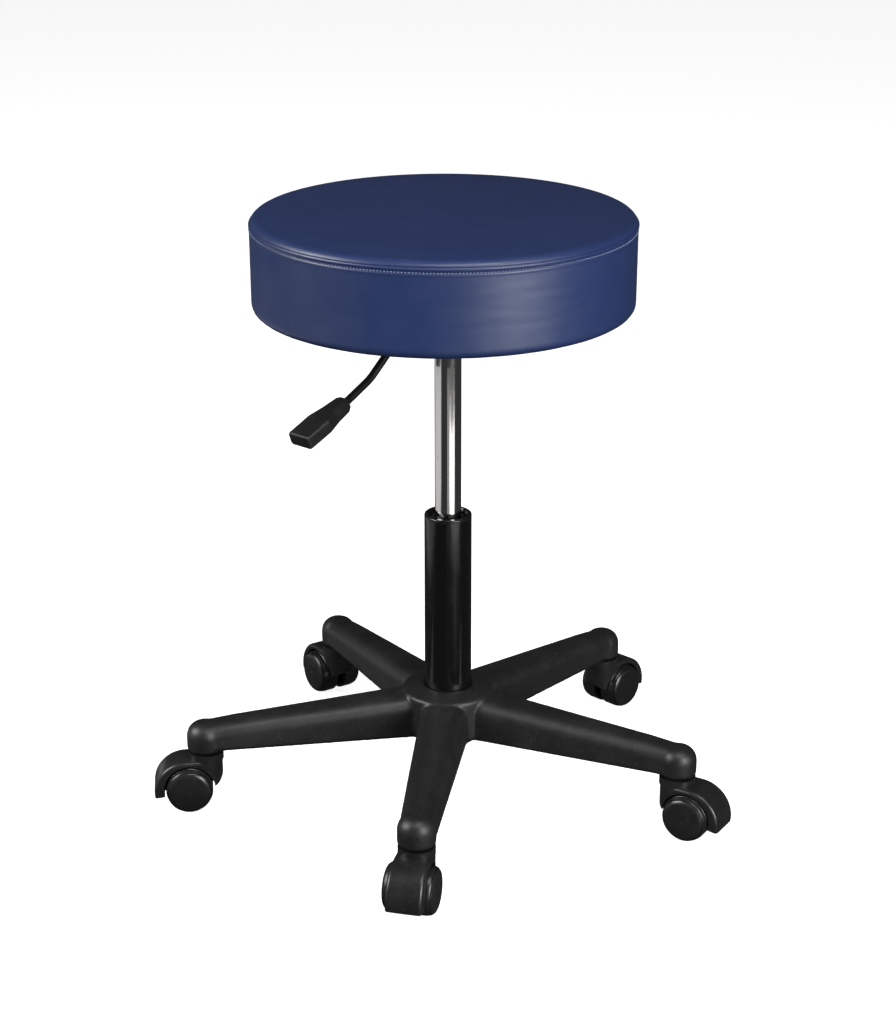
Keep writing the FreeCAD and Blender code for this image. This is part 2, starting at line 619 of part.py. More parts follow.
def seat_cushion():
    board_top = BOARD_BOTTOM_Z + BOARD_T
    board = cylinder(BOARD_R, BOARD_BOTTOM_Z, board_top)
    holes = []
    for x, y in bolt_places():
        holes.append(cylinder(5.4, BOARD_BOTTOM_Z + 3.0, board_top + 1, x, y))
        holes.append(cylinder(BOLT_R + 0.5, BOARD_BOTTOM_Z - 1, BOARD_BOTTOM_Z + 3.0, x, y))
    hole_pattern = turned(Part.makeCompound(holes), LEVER_AZIMUTH)
    export("seat_board", board.cut(hole_pattern).cut(staple_holes()))

    solid = revolved(seat_outside(SKIN_T))
    flanges = []
    for x, y in bolt_places():
        flanges.append(cylinder(11.0, board_top - 1, board_top + 1.2, x, y))
    flange_pattern = turned(Part.makeCompound(flanges), LEVER_AZIMUTH)
    export("seat_foam", solid.cut(board).cut(flange_pattern))

    skin = revolved(seat_outside(0.0)).cut(revolved(seat_outside(SKIN_T)))
    above_seam = cylinder(SEAT_RIM_R + 10, SEAM_Z, SEAT_TOP_Z + 10)
    below_seam = ring(SEAT_RIM_R + 10, FLANGE_INNER_R, SEAT_BOTTOM_Z - 1, SEAM_Z)
    export("seat_top_panel", skin.common(above_seam))
    export("seat_side_band", skin.common(below_seam).cut(staple_holes()))


def seat_underside():
    half = PLATE_HALF + 1.0
    window = turned(box(-half, half, -half, half, 0, 600), LEVER_AZIMUTH)
    cover = cylinder(COVER_R, SEAT_BOTTOM_Z - COVER_T, SEAT_BOTTOM_Z).cut(window)
    export("dust_cover", cover.cut(staple_holes()))
    export("cover_staples", cover_staples())


# ---- twin-wheel casters -------------------------------------------------------------------------
# A caster is modelled with its stem on the Z axis, trailing towards +X, then set in its place.

def on_hood(degrees):
    """Point on the outer curve of the hood, at an angle above the level rearward direction."""
    across, height = corner(HOOD_CENTRE[0], HOOD_CENTRE[1], HOOD_R, degrees)
    return vec(across, 0, height)


def hood_profile():
    """Side outline of the hood, in the plane y = 0."""
    fender_tip = on_hood(FENDER_END_ANGLE)
    crown = on_hood(90)
    nose_x = NOSE_CENTRE_X - HOOD_HALF_W
    nose_low = vec(nose_x, 0, NOSE_STRAIGHT_Z)
    nose_curve = vec(nose_x + 2.2, 0, (NOSE_STRAIGHT_Z + NOSE_TIP_Z) / 2 - 1.0)
    nose_tip = vec(nose_x + NOSE_TIP_SETBACK, 0, NOSE_TIP_Z)
    return Part.Face(Part.Wire([
        arc(fender_tip, on_hood(35), crown), line(crown, vec(nose_x, 0, crown.z)),
        line(vec(nose_x, 0, crown.z), nose_low), arc(nose_low, nose_curve, nose_tip),
        line(nose_tip, fender_tip),
    ]))


def rounded_crown(block):
    """The hood's block with its crown rounded over into both sides."""
    edges = []
    for edge in block.Edges:
        middle = edge.valueAt((edge.FirstParameter + edge.LastParameter) / 2)
        on_side = abs(abs(middle.y) - HOOD_HALF_W) < 0.001
        straight_across = abs(edge.Vertexes[0].Y - edge.Vertexes[-1].Y) > 1
        if on_side and not straight_across and middle.z > HOOD_CENTRE[1] + 5 and middle.x > NOSE_CENTRE_X:
            edges.append(edge)
    return block.makeFillet(HOOD_EDGE_R, edges)


def caster_hood():
    axle_x = CASTER_TRAIL
    y_axis = vec(0, 1, 0)
    profile = hood_profile()
    profile.translate(vec(0, -HOOD_HALF_W, 0))
    block = rounded_crown(profile.extrude(vec(0, 2 * HOOD_HALF_W, 0)))
    plan = cylinder(HOOD_HALF_W, 0, 80, NOSE_CENTRE_X)
    plan = plan.fuse(box(NOSE_CENTRE_X, 80, -HOOD_HALF_W, HOOD_HALF_W, 0, 80))
    block = block.common(plan.removeSplitter())
    collar = cylinder(BOSS_R, 54.0, HOOD_RING_Z)
    block = block.fuse(collar)
    cavity_w = 40.0
    for side in (-1, 1):
        start = vec(axle_x, side * HOOD_WEB_HALF_T, WHEEL_R)
        cavity = Part.makeCylinder(HOOD_CAVITY_R, cavity_w, start, vec(0, side, 0))
        block = block.cut(cavity)
    low_gap = Part.makeCylinder(WHEEL_R - 6.0, 2 * HOOD_WEB_HALF_T + 2,
                                vec(axle_x, -HOOD_WEB_HALF_T - 1, 6.0), y_axis)
    block = block.cut(low_gap.cut(Part.makeCylinder(
        AXLE_R + 5.0, 2 * HOOD_WEB_HALF_T + 2, vec(axle_x, -HOOD_WEB_HALF_T - 1, WHEEL_R), y_axis)))
    stem_boss = cylinder(STEM_R + 2.3, STEM_BOTTOM_Z - 2.0, HOOD_RING_Z)
    wheel_space = []
    for side in (-1, 1):
        start = vec(axle_x, side * HOOD_WEB_HALF_T, WHEEL_R)
        wheel_space.append(Part.makeCylinder(WHEEL_R + 1.0, cavity_w, start, vec(0, side, 0)))
    block = block.fuse(stem_boss.cut(wheel_space))
    block = block.cut(cylinder(STEM_R, STEM_BOTTOM_Z, HOOD_RING_Z + 1))
    axle_hole = Part.makeCylinder(AXLE_R, 60, vec(axle_x, -30, WHEEL_R), y_axis)
    return block.cut(axle_hole).removeSplitter()


def caster_stem():
    stem = cylinder(STEM_R, STEM_BOTTOM_Z, STEM_TOP_Z - 2.0)
    stem = stem.fuse(cone(STEM_R, STEM_R - 1.6, STEM_TOP_Z - 2.0, STEM_TOP_Z))
    groove = ring(STEM_R + 1, STEM_R - 0.7, GRIP_RING_Z[0] - 0.2, GRIP_RING_Z[1] + 0.2)
    return stem.cut(groove).removeSplitter()


def wheel():
    """Nylon wheel with a smooth domed face, hollow inside, its axle along Z from z = 0."""
    disc_r = WHEEL_R - 0.5
    edge_round = 7.0
    edge_centre = (disc_r - edge_round, WHEEL_OUTER_Y - 1.1 - edge_round)
    bore = AXLE_R + SLIDE_CLEARANCE
    shoulder = corner(edge_centre[0], edge_centre[1], edge_round, 82)
    sag = WHEEL_OUTER_Y - shoulder[1]
    dome_r = (shoulder[0] ** 2 + sag ** 2) / (2 * sag)
    half_angle = math.degrees(math.asin(shoulder[0] / dome_r)) / 2
    dome_middle = corner(0, WHEEL_OUTER_Y - dome_r, dome_r, 90 - half_angle)
    solid = revolved([
        (bore, WHEEL_INNER_Y), (AXLE_R + 4.0, WHEEL_INNER_Y), (AXLE_R + 4.0, 21.0), (20.5, 18.0),
        (20.5, WHEEL_INNER_Y + 0.6), (WHEEL_R - 0.8, WHEEL_INNER_Y + 0.6),
        (WHEEL_R, WHEEL_INNER_Y + 1.4), (WHEEL_R, TREAD_END_Y), (disc_r, TREAD_END_Y + 0.5),
        (disc_r, edge_centre[1]), shoulder + corner(edge_centre[0], edge_centre[1], edge_round, 41),
        (0, WHEEL_OUTER_Y) + dome_middle, (0, AXLE_HALF + 0.5), (bore, AXLE_HALF + 0.5),
    ])
    return solid.cut(ring(FACE_GROOVE_R[1], FACE_GROOVE_R[0], FACE_GROOVE_Y, WHEEL_OUTER_Y))


def casters():
    hood = caster_hood()
    stem = caster_stem()
    axle = Part.makeCylinder(AXLE_R, 2 * AXLE_HALF, vec(CASTER_TRAIL, -AXLE_HALF, WHEEL_R), vec(0, 1, 0))
    upright_wheel = wheel()
    sides = {"left": -90.0, "right": 90.0}
    for index in range(ARM_COUNT):
        x, y = stem_place(index)
        azimuth = CASTER_AZIMUTHS[index]
        number = str(index + 1)
        export("caster_hood_" + number, turned(hood, azimuth, x, y))
        export("caster_stem_" + number, turned(stem, azimuth, x, y))
        export("caster_axle_" + number, turned(axle, azimuth, x, y))
        for side, tilt in sides.items():
            piece = upright_wheel.copy()
            piece.rotate(vec(0, 0, 0), vec(1, 0, 0), tilt)
            piece.translate(vec(CASTER_TRAIL, 0, WHEEL_R))
            export("caster_wheel_" + number + "_" + side, turned(piece, azimuth, x, y))


def build():
    os.makedirs("parts", exist_ok=True)
    star_base()
    base_inserts()
    grip_rings()
    rod_parts(thrust_bearing())
    cylinder_parts()
    mounting_plate()
    lever_bracket()
    lever_pin()
    lever_handle(lever_rod())
    seat_fasteners()
    seat_cushion()
    seat_underside()
    casters()


build()
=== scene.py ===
import json
import math

import bmesh
import bpy
import numpy as np
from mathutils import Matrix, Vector


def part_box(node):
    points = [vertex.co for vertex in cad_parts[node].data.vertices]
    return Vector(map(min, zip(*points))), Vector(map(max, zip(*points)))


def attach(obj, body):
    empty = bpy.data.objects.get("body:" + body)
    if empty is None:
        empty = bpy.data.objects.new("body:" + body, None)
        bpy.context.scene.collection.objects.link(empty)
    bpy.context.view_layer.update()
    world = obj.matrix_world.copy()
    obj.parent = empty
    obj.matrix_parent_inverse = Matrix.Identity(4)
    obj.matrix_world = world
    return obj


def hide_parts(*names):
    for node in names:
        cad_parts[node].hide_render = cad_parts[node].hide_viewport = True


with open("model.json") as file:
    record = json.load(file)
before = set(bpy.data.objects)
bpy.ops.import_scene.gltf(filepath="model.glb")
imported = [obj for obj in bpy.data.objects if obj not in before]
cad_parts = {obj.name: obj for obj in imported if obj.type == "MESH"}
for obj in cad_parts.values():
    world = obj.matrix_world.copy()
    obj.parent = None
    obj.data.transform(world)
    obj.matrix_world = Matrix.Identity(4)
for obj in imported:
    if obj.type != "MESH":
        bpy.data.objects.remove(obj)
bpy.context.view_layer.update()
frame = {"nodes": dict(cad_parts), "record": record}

MM = 0.001


# ---- mesh helpers -------------------------------------------------------------------------------

def mesh_object(name, verts, faces, smooth=True):
    mesh = bpy.data.meshes.new(name)
    mesh.from_pydata([tuple(v) for v in verts], [], [tuple(f) for f in faces])
    mesh.validate()
    if smooth:
        mesh.polygons.foreach_set("use_smooth", [True] * len(mesh.polygons))
    obj = bpy.data.objects.new(name, mesh)
    bpy.context.collection.objects.link(obj)
    return obj


def copied(node, name):
    source = frame["nodes"][node]
    obj = bpy.data.objects.new(name, source.data.copy())
    bpy.context.collection.objects.link(obj)
    return obj


def apply_modifiers(obj):
    graph = bpy.context.evaluated_depsgraph_get()
    mesh = bpy.data.meshes.new_from_object(obj.evaluated_get(graph))
    obj.modifiers.clear()
    obj.data = mesh


def welded(obj, distance=1e-5):
    shape = bmesh.new()
    shape.from_mesh(obj.data)
    bmesh.ops.remove_doubles(shape, verts=shape.verts, dist=distance)
    shape.to_mesh(obj.data)
    shape.free()


def grid_faces(rings, around, closed_start, closed_end):
    """Quads between rings of points, with a fan where a ring has shrunk to one point."""
    faces = []
    for ring in range(rings - 1):
        for step in range(around):
            following = (step + 1) % around
            a = ring * around
            b = a + around
            faces.append((a + step, a + following, b + following, b + step))
    last = rings * around
    if closed_start:
        faces += [(last, (step + 1) % around, step) for step in range(around)]
        last += 1
    if closed_end:
        base = (rings - 1) * around
        faces += [(base + step, base + (step + 1) % around, last) for step in range(around)]
    return faces


# ---- materials ----------------------------------------------------------------------------------

class Finish:
    """A node material built step by step. Lengths are in metres, in the object's own space."""

    def __init__(self, name, colour, roughness, metallic=0.0, **fixed):
        self.material = bpy.data.materials.new(name)
        self.material.use_nodes = True
        self.tree = self.material.node_tree
        self.shader = self.tree.nodes["Principled BSDF"]
        self.shader.inputs["Base Color"].default_value = (*colour, 1)
        self.shader.inputs["Roughness"].default_value = roughness
        self.shader.inputs["Metallic"].default_value = metallic
        for key, value in fixed.items():
            self.shader.inputs[key.replace("_", " ")].default_value = value
        self.place = self.node("ShaderNodeTexCoord").outputs["Object"]
        self.normal = None

    def node(self, kind, **settings):
        made = self.tree.nodes.new(kind)
        for key, value in settings.items():
            setattr(made, key, value)
        return made

    def link(self, source, target):
        self.tree.links.new(source, target)

    def stretched(self, stretch):
        mapping = self.node("ShaderNodeMapping")
        mapping.inputs["Scale"].default_value = stretch
        self.link(self.place, mapping.inputs["Vector"])
        return mapping.outputs["Vector"]

    def noise(self, scale, detail=3.0, roughness=0.5, stretch=(1, 1, 1), distortion=0.0):
        made = self.node("ShaderNodeTexNoise")
        made.inputs["Scale"].default_value = scale
        made.inputs["Detail"].default_value = detail
        made.inputs["Roughness"].default_value = roughness
        made.inputs["Distortion"].default_value = distortion
        self.link(self.stretched(stretch), made.inputs["Vector"])
        return made.outputs["Fac"]

    def cells(self, scale, feature="F1", stretch=(1, 1, 1)):
        made = self.node("ShaderNodeTexVoronoi", feature=feature)
        made.inputs["Scale"].default_value = scale
        self.link(self.stretched(stretch), made.inputs["Vector"])
        return made.outputs["Distance"]

    def ranged(self, source, low, high, new_low, new_high):
        made = self.node("ShaderNodeMapRange")
        for key, value in zip(("From Min", "From Max", "To Min", "To Max"), (low, high, new_low, new_high)):
            made.inputs[key].default_value = value
        self.link(source, made.inputs["Value"])
        return made.outputs["Result"]

    def tint(self, share, colour, over=None):
        """Mix a colour over what the base colour is, by a share from 0 to 1."""
        made = self.node("ShaderNodeMix", data_type="RGBA")
        base = self.shader.inputs["Base Color"]
        if base.is_linked:
            self.link(base.links[0].from_socket, made.inputs["A"])
        else:
            made.inputs["A"].default_value = base.default_value
        made.inputs["B"].default_value = (*colour, 1)
        self.link(share, made.inputs["Factor"])
        self.link(made.outputs["Result"], base)

    def rough(self, source, low, high, new_low, new_high):
        self.link(self.ranged(source, low, high, new_low, new_high), self.shader.inputs["Roughness"])

    def bump(self, height, distance, strength=1.0):
        made = self.node("ShaderNodeBump")
        made.inputs["Distance"].default_value = distance
        made.inputs["Strength"].default_value = strength
        self.link(height, made.inputs["Height"])
        if self.normal is not None:
            self.link(self.normal, made.inputs["Normal"])
        self.normal = made.outputs["Normal"]
        self.link(self.normal, self.shader.inputs["Normal"])


def vinyl():
    f = Finish("navy_vinyl", (0.0135, 0.0275, 0.095), 0.36,
               Specular_IOR_Level=0.5, Coat_Weight=0.25, Coat_Roughness=0.38)
    cloud = f.noise(9, 3)
    f.tint(f.ranged(cloud, 0.35, 0.7, 0, 0.5), (0.0175, 0.031, 0.108))
    f.rough(f.noise(38, 4), 0.3, 0.7, 0.37, 0.47)
    grain = f.cells(900, "F1")
    f.bump(grain, 0.00012, 0.22)
    f.bump(f.noise(2600, 2), 0.00006, 0.3)
    f.bump(f.noise(42, 2), 0.0006, 0.10)
    return f.material


def thread():
    f = Finish("navy_thread", (0.16, 0.21, 0.42), 0.5, Sheen_Weight=0.3)
    f.bump(f.noise(5200, 2, stretch=(1, 1, 0.3)), 0.0001, 0.6)
    f.tint(f.ranged(f.noise(700, 2), 0.4, 0.7, 0, 0.6), (0.22, 0.28, 0.5))
    return f.material


# Painted shade: a near-black finish for small patches that stand in for the shadow inside the needle holes.
def needle_hole_painted_shade():
    f = Finish("needle_hole_shade", (0.003, 0.004, 0.012), 0.8)
    f.tint(f.noise(900, 1), (0.005, 0.007, 0.018))
    return f.material


def moulded_nylon(name, grain_scale, grain_height, base, rough_low, rough_high, dust_and_glint_share):
    f = Finish(name, base, 0.45)
    lighter = tuple(min(1.0, c * 2.2 + 0.004) for c in base)
    f.tint(f.ranged(f.noise(22, 4, 0.6), 0.45, 0.75, 0, 0.5), lighter)
    # Light grey specks: partly dust on the moulding, partly painted glints that stand in for the grain
    # sparkling under the lights.
    dust_and_glint_specks = f.ranged(f.noise(520, 2, 0.6), 0.66, 0.74, 0, dust_and_glint_share)
    f.tint(dust_and_glint_specks, (0.12, 0.12, 0.125))
    f.rough(f.noise(60, 5, 0.65), 0.3, 0.7, rough_low, rough_high)
    f.bump(f.noise(grain_scale, 3, 0.6), grain_height, 0.75)
    f.bump(f.noise(120, 3), 0.00035, 0.12)
    return f.material


def gloss_black():
    f = Finish("gloss_black_tube", (0.0035, 0.0035, 0.004), 0.16, Coat_Weight=0.25, Coat_Roughness=0.08)
    f.rough(f.noise(45, 4), 0.3, 0.7, 0.13, 0.24)
    f.tint(f.ranged(f.noise(900, 2), 0.72, 0.76, 0, 0.4), (0.06, 0.06, 0.065))
    f.bump(f.noise(420, 2), 0.00006, 0.25)
    return f.material


def chrome():
    f = Finish("polished_chrome", (0.80, 0.79, 0.775), 0.09, metallic=1.0)
    f.rough(f.noise(30, 4, stretch=(1, 1, 0.25)), 0.3, 0.7, 0.06, 0.15)
    marks = f.ranged(f.noise(300, 3, 0.6, stretch=(1, 1, 0.45)), 0.68, 0.74, 0, 0.55)
    f.tint(marks, (0.22, 0.22, 0.22))
    f.bump(f.noise(140, 3, stretch=(1, 1, 0.12)), 0.00012, 0.12)
    return f.material


def steel(name, colour, roughness):
    f = Finish(name, colour, roughness, metallic=1.0)
    f.rough(f.noise(160, 4), 0.3, 0.7, roughness * 0.75, roughness * 1.3)
    f.tint(f.ranged(f.noise(70, 3), 0.45, 0.75, 0, 0.4), tuple(c * 0.7 for c in colour))
    f.bump(f.noise(900, 2, stretch=(1, 1, 0.2)), 0.00004, 0.3)
    return f.material


def paint(name, colour, roughness):
    f = Finish(name, colour, roughness)
    f.rough(f.noise(50, 4), 0.3, 0.7, roughness * 0.8, roughness * 1.25)
    f.tint(f.ranged(f.noise(600, 2), 0.68, 0.76, 0, 0.35), (0.05, 0.05, 0.052))
    f.bump(f.noise(700, 2), 0.00008, 0.3)
    return f.material


def rubber():
    f = Finish("black_rubber", (0.012, 0.012, 0.012), 0.75)
    f.bump(f.noise(1500, 2), 0.0001, 0.4)
    f.tint(f.ranged(f.noise(90, 3), 0.4, 0.7, 0, 0.5), (0.022, 0.022, 0.022))
    return f.material


def acetal():
    f = Finish("natural_acetal", (0.66, 0.65, 0.60), 0.4)
    f.tint(f.ranged(f.noise(60, 3), 0.4, 0.7, 0, 0.5), (0.56, 0.54, 0.48))
    f.bump(f.noise(900, 2), 0.00006, 0.3)
    return f.material


def plywood():
    f = Finish("birch_plywood", (0.42, 0.28, 0.15), 0.65)
    f.tint(f.ranged(f.noise(18, 5, stretch=(1, 9, 1)), 0.35, 0.7, 0, 0.8), (0.30, 0.18, 0.085))
    f.bump(f.noise(60, 4, stretch=(1, 12, 1)), 0.0004, 0.4)
    return f.material


def felt():
    f = Finish("black_nonwoven", (0.010, 0.010, 0.011), 0.9, Sheen_Weight=0.25)
    f.tint(f.ranged(f.noise(1300, 4), 0.45, 0.7, 0, 0.7), (0.028, 0.028, 0.03))
    f.bump(f.cells(480, stretch=(1, 1.2, 1)), 0.0003, 0.5)
    return f.material


def handle_plastic():
    f = Finish("handle_plastic", (0.008, 0.008, 0.0085), 0.42)
    f.rough(f.noise(80, 4, 0.6), 0.3, 0.7, 0.34, 0.5)
    f.tint(f.ranged(f.noise(420, 3, 0.6), 0.62, 0.72, 0, 0.35), (0.045, 0.045, 0.047))
    f.bump(f.noise(1600, 3), 0.00012, 0.6)
    return f.material


FINISHES = {
    "black_nylon": moulded_nylon("moulded_black_nylon", 1150, 0.00022,
                                 (0.0095, 0.0095, 0.010), 0.36, 0.5, 0.5),
    "gloss_black_steel": gloss_black(),
    "black_acetal": moulded_nylon("black_acetal", 900, 0.00005, (0.006, 0.006, 0.0065), 0.2, 0.3, 0.2),
    "zinc_steel": steel("zinc_plated_steel", (0.55, 0.56, 0.58), 0.35),
    "bright_steel": steel("ground_steel", (0.62, 0.62, 0.64), 0.2),
    "chrome_cylinder": chrome(),
    "white_acetal": acetal(),
    "black_rubber": rubber(),
    "button_steel": steel("turned_steel", (0.5, 0.5, 0.52), 0.3),
    "black_mechanism": paint("black_powder_coat", (0.010, 0.010, 0.011), 0.5),
    "lever_black_steel": paint("black_lever_paint", (0.006, 0.006, 0.0065), 0.3),
    "handle_plastic": handle_plastic(),
    "plywood": plywood(),
    "navy_vinyl": vinyl(),
    "dust_fabric": felt(),
    "hood_nylon": moulded_nylon("hood_nylon", 700, 0.00008, (0.011, 0.011, 0.0115), 0.26, 0.38, 0.3),
    "wheel_nylon": moulded_nylon("wheel_nylon", 600, 0.00005, (0.010, 0.010, 0.0105), 0.24, 0.36, 0.35),
}


def finish_with(obj, material):
    obj.data.materials.clear()
    obj.data.materials.append(material)


for part in frame["record"]["subparts"]:
    slot = part["material_slot"]
    if slot in FINISHES:
        node = frame["nodes"][part["node"]]
        for index in range(max(1, len(node.material_slots))):
            if index < len(node.material_slots):
                node.material_slots[index].material = FINISHES[slot]
            else:
                node.data.materials.append(FINISHES[slot])


# ---- cushion ------------------------------------------------------------------------------------

band_low, band_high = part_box("seat_side_band")
SEAT_BOTTOM = band_low[2]
SEAT_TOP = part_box("seat_top_panel")[1][2]
SEAT_R = (band_high[0] - band_low[0]) / 2
SEAM_Z = SEAT_TOP - 12.1 * MM
EDGE_Z = SEAT_TOP - 3.0 * MM
BOTTOM_ROUND = 8.5 * MM
TOP_ROUND = 9.3 * MM
FLANGE_R = 158 * MM
SEAT_SHIFT = -4.3 * MM        # the cushion sits this far to the left of the column
STITCH_DROP = 5.7 * MM        # height of the seam above the line of stitches
STITCHES = 362
SIMULATED_FRAMES = 20
SWELL_CAP = 1.0 * MM          # furthest that the simulation may move a point
CLOTH_SEGMENTS = 120          # around the cover that is simulated
COVER_SEGMENTS = 720          # around the cover that shows


def rounded_corner(centre, radius, start, end, count):
    angles = np.radians(np.linspace(start, end, count))
    return [(centre[0] + radius * math.cos(a), centre[1] + radius * math.sin(a)) for a in angles]


def cushion_outline(inset):
    """Points (radius, height) from the flange under the board, up the side and over to the middle."""
    side_r = SEAT_R - 0.4 * MM - inset
    bottom = SEAT_BOTTOM + 0.1 * MM + inset * 0.3
    edge = EDGE_Z - inset
    points = [(FLANGE_R + step * (side_r - BOTTOM_ROUND - FLANGE_R) / 5, bottom) for step in range(5)]
    points += rounded_corner((side_r - BOTTOM_ROUND, bottom + BOTTOM_ROUND), BOTTOM_ROUND, -90, 0, 7)
    lowest = bottom + BOTTOM_ROUND
    rise = SEAM_Z - lowest
    points += [(side_r + 0.4 * MM * share, lowest + rise * share) for share in np.linspace(0, 1, 20)[1:]]
    top_round = min(TOP_ROUND, edge - SEAM_Z)
    rim = (side_r + 0.4 * MM - top_round, edge - top_round)
    points += rounded_corner(rim, top_round, 0, 90, 8)[1:]
    for share in np.linspace(0, 1, 30)[1:-1]:
        radius = rim[0] * (1 - share)
        points.append((radius, edge + (SEAT_TOP - 0.6 * MM - edge) * math.sin(share * math.pi / 2) ** 1.2))
    return points, len(points) - 28 - 7


def swollen(points, seam_index, around):
    """Blow the cover up a little against its seam and its flange, and return how far each point moves."""
    angles = np.linspace(0, 2 * math.pi, around, endpoint=False)
    verts = [(r * math.cos(a), r * math.sin(a), z) for r, z in points for a in angles]
    verts.append((0, 0, points[0][1]))
    verts.append((0, 0, points[-1][1]))
    faces = grid_faces(len(points), around, True, True)
    obj = mesh_object("cushion_blank", verts, faces)
    pinned = list(range(5 * around)) + [len(verts) - 2]
    pinned += list(range(seam_index * around, (seam_index + 1) * around))
    group = obj.vertex_groups.new(name="sewn")
    group.add(pinned, 1.0, "REPLACE")
    cloth = obj.modifiers.new("cloth", "CLOTH")
    settings = cloth.settings
    settings.quality = 6
    settings.mass = 0.35
    settings.tension_stiffness = 22
    settings.compression_stiffness = 22
    settings.shear_stiffness = 8
    settings.bending_stiffness = 1.2
    settings.use_pressure = True
    settings.uniform_pressure_force = 4
    settings.vertex_group_mass = "sewn"
    settings.effector_weights.gravity = 0
    cloth.point_cache.frame_start = 1
    cloth.point_cache.frame_end = SIMULATED_FRAMES
    scene = bpy.context.scene
    for number in range(1, SIMULATED_FRAMES + 1):
        scene.frame_set(number)
    graph = bpy.context.evaluated_depsgraph_get()
    held = obj.evaluated_get(graph).to_mesh()
    flat = np.empty(len(held.vertices) * 3)
    held.vertices.foreach_get("co", flat)
    moved = flat.reshape(-1, 3) - np.array(verts)
    obj.evaluated_get(graph).to_mesh_clear()
    bpy.data.objects.remove(obj)
    scene.frame_set(1)
    return moved[:len(points) * around].reshape(len(points), around, 3)


def length_along(points):
    steps = np.hypot(np.diff([p[0] for p in points]), np.diff([p[1] for p in points]))
    return np.concatenate([[0], np.cumsum(steps)])


def smooth_noise(angle, height, seed, waves):
    """Seamless low-frequency unevenness over the cover, from a fixed set of random waves."""
    rng = np.random.default_rng(seed)
    total = np.zeros(np.broadcast(angle, height).shape)
    for _ in range(waves):
        turns = rng.integers(2, 15)
        rise = rng.uniform(-60, 60)
        phase = rng.uniform(0, 2 * math.pi)
        total = total + rng.uniform(0.4, 1.0) * np.sin(turns * angle + rise * height + phase)
    return total / waves


def seam_relief(distance):
    """Height of the cover above its plain outline, by distance below the seam in metres."""
    x = distance / MM
    groove = -1.3 * np.exp(-(x / 0.42) ** 2)
    welt = 0.62 * np.exp(-((x - 2.3) / 1.5) ** 2)
    above = 0.22 * np.exp(-((x + 1.9) / 1.5) ** 2)
    stitch_line = -0.55 * np.exp(-((x - 5.7) / 0.8) ** 2)
    below = 0.25 * np.exp(-((x - 7.9) / 1.3) ** 2)
    return (groove + welt + above + stitch_line + below) * MM


def cushion():
    inset = 1.8 * MM
    around = CLOTH_SEGMENTS
    coarse, seam_index = cushion_outline(inset)
    moved = swollen(coarse, seam_index, around)
    size = np.linalg.norm(moved, axis=2, keepdims=True)
    moved = moved * np.minimum(1.0, SWELL_CAP / np.maximum(size, 1e-9))
    outward = np.linspace(0, 2 * math.pi, around, endpoint=False)
    swell = moved[:, :, 0] * np.cos(outward) + moved[:, :, 1] * np.sin(outward)
    swell = sum(np.roll(swell, turn, axis=1) for turn in range(-7, 8)) / 15
    lift = sum(np.roll(moved[:, :, 2], turn, axis=1) for turn in range(-7, 8)) / 15
    moved = np.stack([swell * np.cos(outward), swell * np.sin(outward), lift], axis=2)

    plain, plain_seam = cushion_outline(0.7 * MM)
    coarse_s = length_along(coarse)
    plain_s = length_along(plain)
    coarse_s = coarse_s / coarse_s[-1]
    plain_s = plain_s / plain_s[-1]
    seam_s = plain_s[plain_seam]
    total = length_along(plain)[-1]
    fine = np.concatenate([
        np.linspace(0, seam_s - 10 * MM / total, 70, endpoint=False),
        np.linspace(seam_s - 10 * MM / total, seam_s + 4 * MM / total, 48, endpoint=False),
        np.linspace(seam_s + 4 * MM / total, 0.997, 90),
    ])
    segments = COVER_SEGMENTS
    radius = np.interp(fine, plain_s, [p[0] for p in plain])
    height = np.interp(fine, plain_s, [p[1] for p in plain])
    slope_r = np.gradient(radius, fine)
    slope_z = np.gradient(height, fine)
    norm = np.hypot(slope_r, slope_z)
    out_r = slope_z / norm
    out_z = -slope_r / norm
    angles = np.linspace(0, 2 * math.pi, segments, endpoint=False)

    share = np.interp(fine, coarse_s, np.arange(len(coarse)))
    ring = np.clip(share.astype(int), 0, len(coarse) - 2)
    ring_part = (share - ring)[:, None, None]
    turn = angles / (2 * math.pi) * around
    step = turn.astype(int) % around
    turn_part = (turn - turn.astype(int))[None, :, None]
    following = (step + 1) % around
    shift = (moved[ring][:, step] * (1 - ring_part) * (1 - turn_part)
             + moved[ring + 1][:, step] * ring_part * (1 - turn_part)
             + moved[ring][:, following] * (1 - ring_part) * turn_part
             + moved[ring + 1][:, following] * ring_part * turn_part)

    below_seam = (seam_s - fine) * total
    relief = seam_relief(below_seam)[:, None] * (1 + 0.16 * np.sin(angles * 3 + 1.1)[None, :])
    wave = smooth_noise(angles[None, :], below_seam[:, None] / 0.09, 5, 14)
    side = np.exp(-((below_seam - 0.045) / 0.036) ** 2)[:, None]
    crown = (below_seam < -0.02)[:, None] * 1.0
    relief = relief + wave * (0.22 * side + 0.12 * crown) * MM
    pucker = np.cos(angles * 181)[None, :] * np.exp(-((below_seam - 0.0057) / 0.0016) ** 2)[:, None]
    relief = relief + 0.10 * MM * pucker
    rim_pull = np.cos(angles * 26 + 2 * np.sin(angles * 5))[None, :]
    near_bottom = np.exp(-((below_seam - 0.083) / 0.012) ** 2)[:, None]
    relief = relief + 0.08 * MM * rim_pull * near_bottom
    where_r = radius[:, None] + relief * out_r[:, None]
    where_z = height[:, None] + relief * out_z[:, None]
    points = np.stack([
        where_r * np.cos(angles) + shift[:, :, 0] + SEAT_SHIFT,
        where_r * np.sin(angles) + shift[:, :, 1],
        where_z + shift[:, :, 2],
    ], axis=2)
    verts = points.reshape(-1, 3).tolist()
    verts.append((SEAT_SHIFT, 0, points[0, :, 2].mean()))
    verts.append((SEAT_SHIFT, 0, points[-1, :, 2].mean()))
    obj = mesh_object("seat_cushion", verts, grid_faces(len(fine), segments, True, True))
    finish_with(obj, FINISHES["navy_vinyl"])
    stitch_ring = int(np.argmin(np.abs(below_seam - STITCH_DROP)))
    return obj, points[stitch_ring], angles


